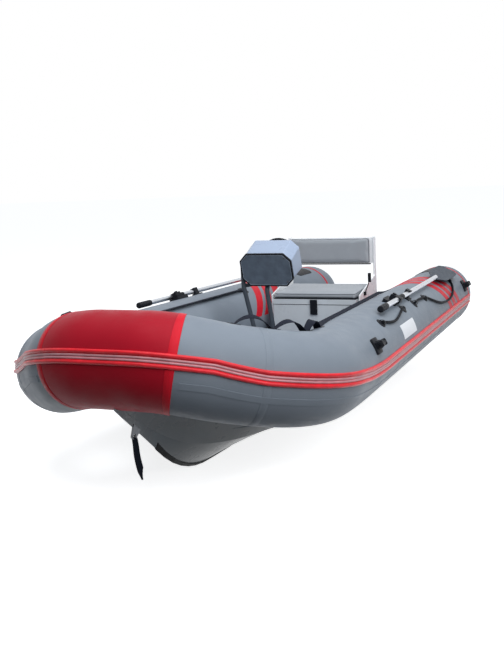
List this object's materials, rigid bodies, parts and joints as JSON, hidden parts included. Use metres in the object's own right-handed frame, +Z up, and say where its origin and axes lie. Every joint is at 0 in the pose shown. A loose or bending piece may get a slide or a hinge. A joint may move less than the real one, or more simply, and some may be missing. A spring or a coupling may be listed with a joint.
{
  "type": "rigid inflatable boat",
  "caption": "Rigid hulled inflatable boat with a turning steering wheel, a seat box with a hinged padded lid, and oars that swing out on their rowlocks.",
  "frame": {"origin": "on the centre plane at the waterline, about amidships", "axes": "+X to port, +Y aft, +Z up"},
  "size_m": [1.8622, 4.0801, 1.0964],
  "materials": {
    "tube_fabric": "satin",
    "red_fabric": "satin",
    "strake_rubber": "satin",
    "hull_gelcoat": "satin",
    "deck_nonskid": "satin",
    "transom_paint": "satin",
    "white_paint": "satin",
    "dark_plate": "satin",
    "frame_alu": "satin",
    "polished_steel": "satin",
    "black_plastic": "satin",
    "cushion_vinyl": "satin",
    "oar_alu": "satin",
    "blade_plastic": "satin",
    "black_rope": "satin",
    "black_webbing": "satin",
    "label_plate": "satin",
    "guard_rubber": "satin"
  },
  "bodies": {
    "boat": {"bow_chamber": "tube_fabric", "port_chamber": "tube_fabric", "starboard_chamber": "tube_fabric", "port_stern_cone": "tube_fabric", "starboard_stern_cone": "tube_fabric", "bow_patch": "red_fabric", "rub_strake_bow": "strake_rubber", "rub_strake_port": "strake_rubber", "rub_strake_starboard": "strake_rubber", "hull": "hull_gelcoat", "deck": "deck_nonskid", "transom": "transom_paint", "drain_plug": "black_plastic", "tow_eyes": "polished_steel", "motor_pads": "black_plastic", "keel_guard": "guard_rubber", "bow_eye": "polished_steel", "bow_strap": "black_webbing", "console_plate": "dark_plate", "console_pod": "white_paint", "console_frame": "frame_alu", "seat_box": "white_paint", "seat_hinges": "polished_steel", "seat_latch": "black_plastic", "backrest_posts": "white_paint", "backrest_lever": "black_plastic", "backrest_board": "white_paint", "backrest_cushion": "cushion_vinyl", "rowlock_bases": "black_plastic", "oar_clips": "black_plastic", "accessory_mounts": "black_plastic", "label_plate": "label_plate", "hand_lines": "black_webbing", "safety_ropes": "black_rope", "rope_eyelets": "black_plastic", "inflation_valves": "black_plastic"},
    "helm": {"steering_wheel": "black_plastic", "steering_shaft": "polished_steel"},
    "lid": {"seat_lid": "white_paint", "seat_cushion": "cushion_vinyl"},
    "port_oar": {"port_oar_shaft": "oar_alu", "port_oar_grip": "black_plastic", "port_oar_blade": "blade_plastic", "port_rowlock_collar": "black_plastic"},
    "starboard_oar": {"starboard_oar_shaft": "oar_alu", "starboard_oar_grip": "black_plastic", "starboard_oar_blade": "blade_plastic", "starboard_rowlock_collar": "black_plastic"}
  },
  "joints": [
    {"name": "steering", "type": "hinge", "parent": "boat", "child": "helm", "pos_m": [0, 0.10344, 0.7], "axis": [0, 0.9613, 0.2756], "range_deg": [-630, 630]},
    {"name": "seat_lid", "type": "hinge", "parent": "boat", "child": "lid", "pos_m": [0, 0.985, 0.3323], "axis": [-1, 0, 0], "range_deg": [0, 52]},
    {"name": "port_oar_swing", "type": "hinge", "parent": "boat", "child": "port_oar", "pos_m": [0.73281, 0.05396, 0.46848], "axis": [-0.4582, -0.02, -0.8886], "range_deg": [0, 75]},
    {"name": "starboard_oar_swing", "type": "hinge", "parent": "boat", "child": "starboard_oar", "pos_m": [-0.73281, 0.05396, 0.46848], "axis": [-0.4582, 0.02, 0.8886], "range_deg": [0, 75]}
  ]
}
